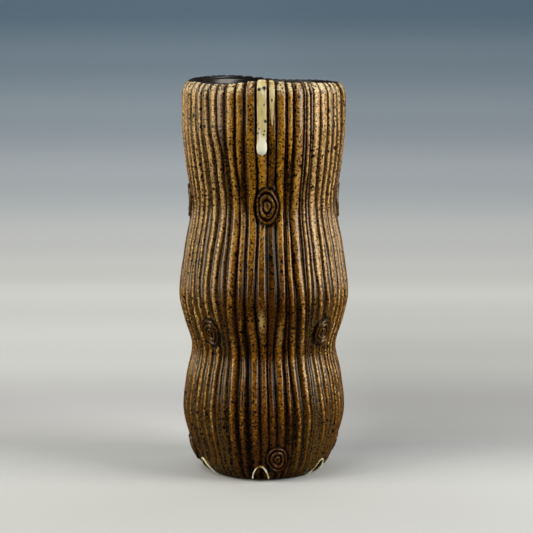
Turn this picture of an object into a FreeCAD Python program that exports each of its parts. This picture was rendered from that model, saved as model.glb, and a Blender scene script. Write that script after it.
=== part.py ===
import FreeCAD, Part
import math
import os

# The vase stands on its foot with its axis on +Z and the foot's plane at Z = 0.
# Angles are in degrees, from the front (-Y) towards the right (+X). Lengths are in millimetres.

# Outline at the rib crests: a rounded foot, three lobes, two waists and a lip that curls in
height = 212.0
foot_radius = 28.5
heel_height = 6.0
heel_radius = 35.6
lower_lobe_radius = 43.7
lower_waist_radius = 38.9
middle_lobe_radius = 45.5
upper_waist_radius = 39.0
upper_lobe_radius = 43.6
lip_rise = 8.2
lip_curl = 5.0

# Heights of the lobes and waists as shares of the whole height
lower_lobe_share = 0.17
lower_waist_share = 0.325
middle_lobe_share = 0.4575
upper_waist_share = 0.684
upper_lobe_share = 0.896
lower_lobe_height = height * lower_lobe_share
lower_waist_height = height * lower_waist_share
middle_lobe_height = height * middle_lobe_share
upper_waist_height = height * upper_waist_share
upper_lobe_height = height * upper_lobe_share

# How far up its span, and how much of its change of radius, each stretch between them is eased
heel_rise_share = 0.33
heel_swell_share = 0.5
foot_rise_share = 0.3
foot_swell_share = 0.44
lower_fall_share = 0.35
middle_swell_share = 0.58
middle_fall_share = 0.42
upper_swell_share = 0.59

# Wall and ribs
wall_thickness = 6.0
groove_depth = 1.1
wander_width = 0.75
# Widths of the ribs round the wall, from the left side over the front, as shares of the whole turn
rib_width_shares = (
    6.5, 6.5, 6.5, 5.4, 7.8, 4.7, 6.9, 7.7, 7.1, 7.6, 7.3, 8.4, 8.6, 5.8, 8.6, 4.8, 7.7,
    2.6, 2.7, 9.2, 8.6, 6.0, 6.3, 5.6, 6.5, 6.3, 6.5,
    7.2, 6.0, 7.9, 5.2, 7.6, 6.8, 4.6, 8.1, 7.0, 5.5, 8.4, 6.3, 7.4, 4.9, 7.8,
    6.6, 8.0, 5.0, 7.1, 6.2, 8.3, 5.8, 7.5, 6.9, 4.7, 7.7, 5.6,
)
first_groove_angle = -88.0
# Across one rib: place and depth of its groove, its two shoulders and its crest
rib_place_shares = (0.0, 0.22, 0.5, 0.78)
rib_depth_shares = (1.0, 0.2, 0.0, 0.2)
# Depth of the groove left of each rib in a repeating run, because some were cut deeper
groove_run_shares = (0.85, 1.0, 0.7, 0.95, 0.8, 1.0, 0.75)

# Uneven top edge
rim_tilt = 2.2
rim_tilt_angle = -150.0
rim_ripple = 1.4
rim_ripple_angle = -150.0
rim_ripple_count = 2
rim_fade_height = 60.0

# Floor slab set inside the wall, and the coil of clay worked into the corner
seat_radius = 26.0
floor_thickness = 5.0
floor_recess = 1.5
coil_width = 5.0
coil_height = 4.5
coil_hollow_share = 0.38
luting_gap = 0.05

# Coat of glaze inside
liner_thickness = 0.5

# Arched pockets pressed into the foot, each lined with a bead of pale glaze
pocket_count = 6
pocket_angle = -3.0
pocket_width = 8.6
pocket_base = 0.9
pocket_top = 9.4
pocket_depth = 1.9
bead_width = 0.9
bead_proud = 0.7
arch_haunch_share = 0.55
arch_swell_share = 0.72

# Oval knots: pads of clay luted onto the wall, four in each of three rows.
# The upper row's middle is lifted above the upper waist, and the lower row's above the lower waist.
knots_in_row = 4
knot_rise = 1.5
knot_margin = 3.0
knot_fade_share = 0.4
# From a knot's middle to its edge: places across it and heights of its boss, groove and roll
knot_place_shares = (0.0, 0.2, 0.42, 0.55, 0.78, 0.93, 1.0)
knot_height_shares = (0.85, 0.75, 0.3, 0.35, 1.0, 0.75, 0.1)
upper_knot_lift = 1.5
upper_knot_length = 20.0
upper_knot_width = 13.0
upper_knot_angle = 2.5
lower_knot_lift = 11.0
lower_knot_length = 15.0
lower_knot_width = 12.0
lower_knot_angle = 48.0
foot_knot_height = 13.5
foot_knot_length = 15.0
foot_knot_width = 12.0
foot_knot_angle = 10.5

# Runs of pale glaze down two ribs at the front, from the lip
run_thickness = 0.35
long_run_rib = 12
long_run_length = 37.0
short_run_rib = 13
short_run_length = 24.0

# Spacing of the cross sections that shape the wall, and the reach of cutting shapes past a surface
row_step = 8.0
heel_steps = 3
outline_step = 1.5
lip_steps = 4
lip_relief_share = 0.55
flare_rise_share = 0.3
overrun = 2.0

turn = 360.0
axis_up = FreeCAD.Vector(0, 0, 1)
centre = FreeCAD.Vector(0, 0, 0)


def between(low, high, share):
    return low + (high - low) * share


def outline_points():
    """Height and radius of each point that the crest outline passes through."""
    heel_step = heel_height * heel_rise_share
    foot_step = between(heel_height, lower_lobe_height, foot_rise_share)
    shoulder = height - lip_rise
    return [
        (0.0, foot_radius),
        (heel_step, between(foot_radius, heel_radius, heel_swell_share)),
        (heel_height, heel_radius),
        (foot_step, between(heel_radius, lower_lobe_radius, foot_swell_share)),
        (lower_lobe_height, lower_lobe_radius),
        ((lower_lobe_height + lower_waist_height) / 2,
         between(lower_lobe_radius, lower_waist_radius, lower_fall_share)),
        (lower_waist_height, lower_waist_radius),
        ((lower_waist_height + middle_lobe_height) / 2,
         between(lower_waist_radius, middle_lobe_radius, middle_swell_share)),
        (middle_lobe_height, middle_lobe_radius),
        ((middle_lobe_height + upper_waist_height) / 2,
         between(middle_lobe_radius, upper_waist_radius, middle_fall_share)),
        (upper_waist_height, upper_waist_radius),
        ((upper_waist_height + upper_lobe_height) / 2,
         between(upper_waist_radius, upper_lobe_radius, upper_swell_share)),
        (upper_lobe_height, upper_lobe_radius),
        (shoulder, upper_lobe_radius),
    ]


def smooth_slopes(points):
    """Slope at each point of a curve that never swings past its points."""
    steps = [(b[1] - a[1]) / (b[0] - a[0]) for a, b in zip(points, points[1:])]
    slopes = [steps[0]]
    for before, after in zip(steps, steps[1:]):
        if before * after <= 0:
            slopes.append(0.0)
        else:
            slopes.append(2 * before * after / (before + after))
    slopes.append(steps[-1])
    return slopes


crest_points = outline_points()
crest_slopes = smooth_slopes(crest_points)


def crest_radius(level):
    """Radius of the rib crests at a height, up to the shoulder of the lip."""
    if level <= crest_points[0][0]:
        return crest_points[0][1]
    for index in range(len(crest_points) - 1):
        low, low_radius = crest_points[index]
        high, high_radius = crest_points[index + 1]
        if level <= high:
            span = high - low
            t = (level - low) / span
            return (low_radius * (1 + 2 * t) * (1 - t) ** 2
                    + high_radius * t * t * (3 - 2 * t)
                    + span * crest_slopes[index] * t * (1 - t) ** 2
                    + span * crest_slopes[index + 1] * t * t * (t - 1))
    return crest_points[-1][1]


def smooth_step(share):
    share = min(1.0, max(0.0, share))
    return share * share * (3 - 2 * share)


def rim_wave(angle):
    """Drop of the uneven top edge below the full height."""
    tilt = rim_tilt * (1 - math.cos(math.radians(angle - rim_tilt_angle))) / 2
    phase = math.radians(rim_ripple_count * (angle - rim_ripple_angle))
    return tilt + rim_ripple * (1 - math.cos(phase)) / 2


def rim_drop(angle, level):
    start = height - rim_fade_height
    return rim_wave(angle) * smooth_step((level - start) / rim_fade_height)


def groove_angles():
    """Angle of each groove before it wanders."""
    total = sum(rib_width_shares)
    angles = []
    angle = first_groove_angle
    for share in rib_width_shares:
        angles.append(angle)
        angle += share / total * turn
    return angles


grooves = groove_angles()


def groove_wander(index, level):
    """Slow sideways drift of one groove with height, as an angle."""
    golden = (math.sqrt(5) - 1) / 2
    phase = turn * golden * index
    slow = math.sin(math.radians(phase + turn * level / height))
    quick = math.sin(math.radians(phase * 2 + 2 * turn * level / height))
    drift = wander_width * (slow + quick / 2)
    return math.degrees(drift / upper_waist_radius)


def groove_place(index, level):
    """Angle of a groove at a height; the count runs on past a whole turn."""
    count = len(grooves)
    lap, here = divmod(index, count)
    return grooves[here] + groove_wander(here, level) + lap * turn


def knot_rows():
    """Height, length, width and first angle of each row of knots."""
    upper = upper_waist_height + upper_knot_lift
    lower = lower_waist_height + lower_knot_lift
    return {
        "upper": (upper, upper_knot_length, upper_knot_width, upper_knot_angle),
        "lower": (lower, lower_knot_length, lower_knot_width, lower_knot_angle),
        "foot": (foot_knot_height, foot_knot_length, foot_knot_width, foot_knot_angle),
    }


def knot_flat(angle, level):
    """1 where a knot has pressed the ribs flat, fading to 0 away from it."""
    flat = 0.0
    for level_of_row, length, width, first in knot_rows().values():
        up = (level - level_of_row) / (length / 2 + knot_margin)
        if abs(up) < 1:
            pitch = turn / knots_in_row
            aside = (angle - first + pitch / 2) % pitch - pitch / 2
            across = math.radians(aside) * crest_radius(level_of_row) / (width / 2 + knot_margin)
            reach = math.hypot(up, across)
            flat = max(flat, smooth_step((1 - reach) / knot_fade_share))
    return flat


# Cross sections

def outer_rows():
    """Rows up the outside of the wall and over the lip to its crest.
    Each row holds its height, its radius and its share of the rib relief."""
    shoulder = height - lip_rise
    levels = [heel_height * index / heel_steps for index in range(heel_steps)]
    steps = round((shoulder - heel_height) / row_step)
    levels += [between(heel_height, shoulder, index / steps) for index in range(steps)]
    rows = [(level, crest_radius(level), 1.0) for level in levels]
    lip_radius = upper_lobe_radius - lip_curl
    for index in range(lip_steps + 1):
        bend = math.radians(index / lip_steps * turn / 4)
        relief = between(1.0, lip_relief_share, index / lip_steps)
        rows.append((shoulder + lip_rise * math.sin(bend),
                     lip_radius + lip_curl * math.cos(bend), relief))
    return rows


def coil_top():
    return floor_recess + floor_thickness + coil_height


def flare_top():
    return between(coil_top(), lower_lobe_height, flare_rise_share)


def placed(radius, angle, level):
    bearing = math.radians(angle)
    return FreeCAD.Vector(radius * math.sin(bearing), -radius * math.cos(bearing), level)


def row_points(row, normal, coat):
    """Points round one row, pushed out along its normal by a coat and in by the ribs."""
    level, radius, relief = row
    points = []
    for index in range(len(grooves)):
        left = groove_place(index, level)
        right = groove_place(index + 1, level)
        cut_share = groove_run_shares[index % len(groove_run_shares)]
        for place, depth in zip(rib_place_shares, rib_depth_shares):
            angle = between(left, right, place)
            sink = groove_depth * depth * cut_share * relief * (1 - knot_flat(angle, level))
            r = radius + (coat - sink) * normal[0]
            z = level - rim_drop(angle, level) + (coat - sink) * normal[1]
            points.append(placed(r, angle, z))
    return points


def row_normals(rows):
    """Direction out of the clay at each row, as shares along the radius and the axis."""
    normals = [(1.0, 0.0)]
    for before, after in zip(rows, rows[2:]):
        rise = after[0] - before[0]
        swell = after[1] - before[1]
        length = math.hypot(rise, swell)
        normals.append((rise / length, -swell / length))
    normals.append((0.0, 1.0))
    return normals


def wall_lines(coat):
    """Curves from the foot to the lip's crest along every groove, shoulder and rib crest."""
    rows = outer_rows()
    rings = [row_points(row, normal, coat) for row, normal in zip(rows, row_normals(rows))]
    return [smooth_line([ring[index] for ring in rings]) for index in range(len(rings[0]))]


def smooth_line(points):
    """Cubic curve close to the points, with one even count for every line of the wall."""
    poles = [points[0]]
    for low, here, high in zip(points, points[1:], points[2:]):
        poles.append(here - (low - here * 2 + high) / 6)
    poles.append(points[-1])
    marks = list(range(len(poles) - 2))
    multiples = [4] + [1] * (len(marks) - 2) + [4]
    curve = Part.BSplineCurve()
    curve.buildFromPolesMultsKnots(poles, multiples, marks, False, 3)
    return curve


def strip(left, right, start=None, end=None):
    """Face between two neighbouring lines, or a stretch of it."""
    edges = []
    for line in (left, right):
        first = line.FirstParameter if start is None else start
        last = line.LastParameter if end is None else end
        edges.append(line.toShape(first, last))
    return Part.makeRuledSurface(edges[0], edges[1])


def closed_solid(faces):
    """One solid from faces that meet edge to edge."""
    sewn = Part.Shape(Part.makeCompound(faces))
    sewn.sewShape()
    solid = Part.Solid(sewn.Shells[0])
    if solid.Volume < 0:
        solid.reverse()
    return solid


def outline_body(coat, low, high):
    """Solid of revolution under the crest outline, pushed out by a coat."""
    count = round((high - low) / outline_step)
    points = []
    for index in range(count + 1):
        level = between(low, high, index / count)
        radius, rise = outline_offset(level, coat)
        points.append(FreeCAD.Vector(radius, 0, rise))
    curve = Part.BSplineCurve()
    curve.interpolate(points)
    bottom = FreeCAD.Vector(0, 0, points[0].z)
    top = FreeCAD.Vector(0, 0, points[-1].z)
    wire = Part.Wire([
        Part.makeLine(bottom, points[0]), curve.toShape(),
        Part.makeLine(points[-1], top), Part.makeLine(top, bottom),
    ])
    return Part.Face(wire).revolve(centre, axis_up, turn)


def outline_normal(level):
    """Direction out of the crest outline, as shares along the radius and the axis."""
    step = outline_step / 2
    low = max(level - step, 0.0)
    swell = crest_radius(level + step) - crest_radius(low)
    rise = level + step - low
    length = math.hypot(swell, rise)
    return rise / length, -swell / length


def outline_offset(level, coat):
    out, up = outline_normal(level)
    return crest_radius(level) + coat * out, level + coat * up


def front_frame(level):
    """Placement on the crest outline at the front: Z points out of the clay, Y up the wall."""
    out, up = outline_normal(level)
    aside = FreeCAD.Vector(1, 0, 0)
    normal = FreeCAD.Vector(0, -out, up)
    turned = FreeCAD.Rotation(aside, normal.cross(aside), normal, "ZXY")
    return FreeCAD.Placement(placed(crest_radius(level), 0.0, level), turned)


# Clay body

def rough_body():
    """The ribbed outside filled solid, closed by a flat foot and a dished top."""
    lines = wall_lines(0.0)
    dish = FreeCAD.Vector(0, 0, height - lip_rise)
    faces = []
    for left, right in zip(lines, lines[1:] + lines[:1]):
        faces.append(strip(left, right))
        low = left.value(left.LastParameter)
        high = right.value(right.LastParameter)
        faces.append(Part.Face(Part.makePolygon([low, high, dish, low])))
    feet = [line.value(line.FirstParameter) for line in lines]
    faces.append(Part.Face(Part.makePolygon(feet + feet[:1])))
    return closed_solid(faces)


def cavity(coat):
    """The hollow inside the wall, down through the seat, narrowed by a coat."""
    seat_top = coil_top() + coil_height / 2
    low = flare_top()
    shoulder = height - lip_rise
    count = round((shoulder - low) / row_step)
    points = []
    for index in range(count + 1):
        level = between(low, shoulder, index / count)
        points.append(FreeCAD.Vector(crest_radius(level) - wall_thickness - coat, 0, level))
    curve = Part.BSplineCurve()
    curve.interpolate(points)
    top = FreeCAD.Vector(points[-1].x, 0, height + overrun)
    seat_head = FreeCAD.Vector(seat_radius - coat, 0, seat_top)
    seat_foot = FreeCAD.Vector(seat_radius - coat, 0, -overrun)
    axis_top = FreeCAD.Vector(0, 0, top.z)
    axis_foot = FreeCAD.Vector(0, 0, -overrun)
    wire = Part.Wire([
        Part.makeLine(axis_foot, seat_foot), Part.makeLine(seat_foot, seat_head),
        Part.makeLine(seat_head, points[0]), curve.toShape(), Part.makeLine(points[-1], top),
        Part.makeLine(top, axis_top), Part.makeLine(axis_top, axis_foot),
    ])
    return Part.Face(wire).revolve(centre, axis_up, turn)


def carved_wall():
    """The slab bent into a tube, with its ribs, curled lip, straight seat and foot pockets."""
    return rough_body().cut([cavity(0.0)] + all_pockets())


def floor_slab():
    """Disc that fits the wall's seat, lifted clear of the foot's plane."""
    radius = seat_radius - luting_gap
    return Part.makeCylinder(radius, floor_thickness, FreeCAD.Vector(0, 0, floor_recess))


def seam_coil():
    """Ring of clay worked into the corner between floor and wall, hollowed on its face."""
    floor_top = floor_recess + floor_thickness
    outer = seat_radius - luting_gap
    corner = FreeCAD.Vector(outer, 0, floor_top)
    toe = FreeCAD.Vector(outer - coil_width, 0, floor_top)
    head = FreeCAD.Vector(outer, 0, coil_top())
    hollow = FreeCAD.Vector(outer - coil_width * coil_hollow_share, 0,
                            floor_top + coil_height * coil_hollow_share)
    wire = Part.Wire([
        Part.makeLine(corner, toe), Part.Arc(toe, hollow, head).toShape(),
        Part.makeLine(head, corner),
    ])
    return Part.Face(wire).revolve(centre, axis_up, turn)


# Arched pockets in the foot

def arch_prism(inset, low, high):
    """Prism of a pointed arch standing on the foot, out of the clay along the wall's normal."""
    middle = (pocket_base + pocket_top) / 2
    out = outline_normal(middle)[0]
    half_length = (pocket_top - pocket_base) / out / 2
    half_width = pocket_width / 2 - inset
    base = -half_length - (overrun if inset else 0.0)
    top = half_length - inset
    left = FreeCAD.Vector(-half_width, base, low)
    right = FreeCAD.Vector(half_width, base, low)
    apex = FreeCAD.Vector(0, top, low)
    haunch = between(base, top, arch_haunch_share)
    left_haunch = FreeCAD.Vector(-half_width * arch_swell_share, haunch, low)
    right_haunch = FreeCAD.Vector(half_width * arch_swell_share, haunch, low)
    wire = Part.Wire([
        Part.makeLine(left, right), Part.Arc(right, right_haunch, apex).toShape(),
        Part.Arc(apex, left_haunch, left).toShape(),
    ])
    prism = Part.Face(wire).extrude(FreeCAD.Vector(0, 0, high - low))
    prism.Placement = front_frame(middle)
    return prism


def foot_core():
    """What stays behind the pockets: the outline drawn in by their depth."""
    return outline_body(-pocket_depth, 0.0, heel_height + pocket_top)


def pocket_shape():
    """What is pressed out of the wall for one pocket; its back follows the wall."""
    reach = pocket_depth + 2 * overrun
    return arch_prism(0.0, -reach, reach).cut(foot_core())


def bead_shape():
    """Pale glaze gathered along a pocket's arch, from its back to just proud of the wall."""
    reach = pocket_depth + 2 * overrun
    strip = arch_prism(0.0, -reach, reach).cut(arch_prism(bead_width, -2 * reach, 2 * reach))
    face = outline_body(bead_proud, 0.0, heel_height + pocket_top)
    return strip.cut(foot_core()).common(face)


def turned_copy(shape, angle):
    copy = shape.copy()
    copy.rotate(centre, axis_up, angle)
    return copy


def pocket_angles():
    return [pocket_angle + turn / pocket_count * index for index in range(pocket_count)]


# Knots

def oval(shape, length, width):
    """Stretches a round shape about its own Z into an oval as tall as the knot is long."""
    matrix = FreeCAD.Matrix()
    matrix.scale(1.0, length / width, 1.0)
    return shape.transformGeometry(matrix)


def knot_pad(length, width, level):
    """Oval pad with a rolled edge, a ring groove and a low boss, seated on the wall."""
    radius = width / 2
    root = -knot_rise - overrun
    heights = [knot_rise * share for share in knot_height_shares]
    points = [
        FreeCAD.Vector(radius * place, 0, rise)
        for place, rise in zip(knot_place_shares, heights)
    ]
    curve = Part.BSplineCurve()
    curve.interpolate(points)
    low_edge = FreeCAD.Vector(radius, 0, root)
    low_middle = FreeCAD.Vector(0, 0, root)
    wire = Part.Wire([
        curve.toShape(), Part.makeLine(points[-1], low_edge),
        Part.makeLine(low_edge, low_middle), Part.makeLine(low_middle, points[0]),
    ])
    pad = oval(Part.Face(wire).revolve(centre, axis_up, turn), length, width)
    pad.Placement = front_frame(level)
    reach = length / 2 + 2 * overrun
    seat = outline_body(luting_gap, max(level - reach, 0.0), level + reach)
    return pad.cut(seat)


def knot_angles(first):
    return [first + turn / knots_in_row * index for index in range(knots_in_row)]


# Glaze coats

def liner_glaze():
    """Dark coat down the inside of the wall from the edge of the lip to the seam coil."""
    reach = Part.makeCylinder(upper_lobe_radius + middle_lobe_radius, height,
                              FreeCAD.Vector(0, 0, coil_top() + liner_thickness))
    return cavity(0.0).cut(cavity(liner_thickness)).common(rough_body()).common(reach)


def floor_glaze():
    """Pool of the same coat over the floor slab and the seam coil."""
    floor_top = floor_recess + floor_thickness
    outer = seat_radius - luting_gap
    body = Part.makeCylinder(outer, coil_height + liner_thickness, FreeCAD.Vector(0, 0, floor_top))
    dish = Part.makeCylinder(outer - coil_width - liner_thickness, height,
                             FreeCAD.Vector(0, 0, floor_top + liner_thickness))
    return body.cut(seam_coil()).cut(dish)


def glaze_run(rib, length):
    """Run of pale glaze over one rib, from the crest of the lip down to its end."""
    end = height - length
    under = wall_lines(0.0)
    over = wall_lines(run_thickness)
    first = rib * len(rib_place_shares) + 1
    chosen = range(first, first + len(rib_place_shares) - 1)
    middle = under[first + 1]
    start = middle.parameter(placed(crest_radius(end), groove_place(rib, end), end))
    stop = middle.LastParameter
    faces = []
    for index in chosen[:-1]:
        faces.append(strip(under[index], under[index + 1], start, stop))
        faces.append(strip(over[index], over[index + 1], start, stop))
    for index in (chosen[0], chosen[-1]):
        faces.append(strip(under[index], over[index], start, stop))
    for mark in (start, stop):
        inner = [under[index].value(mark) for index in chosen]
        outer = [over[index].value(mark) for index in chosen]
        for index in range(len(inner) - 1):
            corners = [inner[index], inner[index + 1], outer[index + 1], outer[index]]
            low = Part.makeLine(corners[0], corners[1])
            high = Part.makeLine(corners[3], corners[2])
            faces.append(Part.makeRuledSurface(low, high))
    return closed_solid(faces)


def all_pockets():
    pocket = pocket_shape()
    return [turned_copy(pocket, angle) for angle in pocket_angles()]


def pieces():
    """Every piece by its name."""
    found = {
        "carved_wall": carved_wall(),
        "floor_slab": floor_slab(),
        "seam_coil": seam_coil(),
        "liner_glaze": liner_glaze(),
        "floor_glaze": floor_glaze(),
        "pale_run_long": glaze_run(long_run_rib, long_run_length),
        "pale_run_short": glaze_run(short_run_rib, short_run_length),
    }
    bead = bead_shape()
    for index, angle in enumerate(pocket_angles()):
        found[f"pocket_bead_{index + 1}"] = turned_copy(bead, angle)
    for row, (level, length, width, first) in knot_rows().items():
        pad = knot_pad(length, width, level)
        for index, angle in enumerate(knot_angles(first)):
            found[f"{row}_knot_{index + 1}"] = turned_copy(pad, angle)
    return found


os.makedirs("parts", exist_ok=True)
for name, shape in pieces().items():
    shape.exportStep(f"parts/{name}.step")
    print(name, shape.isValid(), len(shape.Solids))
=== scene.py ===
import bpy
import math
import numpy as np
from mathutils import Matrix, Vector


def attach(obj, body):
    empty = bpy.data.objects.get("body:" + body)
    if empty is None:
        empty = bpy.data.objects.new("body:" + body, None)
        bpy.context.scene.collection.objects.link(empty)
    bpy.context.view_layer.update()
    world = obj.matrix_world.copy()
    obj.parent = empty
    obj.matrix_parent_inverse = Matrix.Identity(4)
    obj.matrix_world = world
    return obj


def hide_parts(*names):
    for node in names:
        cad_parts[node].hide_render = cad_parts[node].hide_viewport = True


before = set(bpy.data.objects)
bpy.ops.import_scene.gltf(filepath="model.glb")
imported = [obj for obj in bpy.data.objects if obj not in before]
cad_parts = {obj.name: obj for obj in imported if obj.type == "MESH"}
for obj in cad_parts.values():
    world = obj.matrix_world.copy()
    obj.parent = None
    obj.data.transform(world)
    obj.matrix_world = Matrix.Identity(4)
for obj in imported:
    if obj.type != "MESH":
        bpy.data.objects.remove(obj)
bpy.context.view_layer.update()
mm = 0.001
dice = np.random.default_rng(7)  # every random draw comes from here, in order

# Lengths are in millimetres until a mesh is made; materials, backdrop, lights and camera are in metres.
# Angles are degrees from the front (-Y) towards +X.

wall = {
    "height": 212.0, "lipRise": 8.2, "lipCurl": 5.0, "thickness": 6.0,
    "footRadius": 27.4, "seatRadius": 26.0, "seatTop": 13.3, "flareTop": 18.5,
    "outline": [(0, 28.5), (1.98, 32.05), (6, 35.6), (15.01, 39.16), (36.04, 43.7), (52.47, 42.02),
                (68.9, 38.9), (82.95, 42.73), (96.99, 45.5), (121, 42.77), (145.01, 39.0),
                (167.48, 41.71), (189.95, 43.6), (203.8, 43.6)],  # level, radius over the rib crests
    "valleyDepth": 0.95, "cutDepth": 0.75, "toolMarks": 0.09,
    "tilt": 2.2, "ripple": 1.4, "highAngle": -150.0, "waveFade": 60.0,  # the lip's rise and fall
    "lipLifts": [(-1.0, 17.0, 1.9), (168.0, 24.0, -1.5),
                 (-62.0, 9.0, 0.6), (33.0, 8.0, 0.5)],  # angle, spread, height
    "columns": 10, "rowStep": 1.5, "curlRows": 10, "innerRows": 14, "innerTop": 3,
    "innerLip": [(0.55, 0.35, 0.1), (0.95, 1.3, 0)],  # inward, down, relief share
    "footRelief": 0.35, "footFade": 3.0, "lipFade": 0.7, "knotFade": 0.85,  # how the ribs get shallower
}
shoulder = wall["height"] - wall["lipRise"]  # the lip starts to curl here
rimRadius = wall["outline"][-1][1]

knotRows = {  # level, length, width, first angle; four of each, a quarter turn apart
    "upper": (146.5, 20.0, 13.0, 2.5),
    "lower": (79.9, 15.0, 12.0, 48.0),
    "foot": (13.5, 15.0, 12.0, 10.5),
}
knotMargin = 2.0  # the ribs are pressed flat this far round a knot

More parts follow.
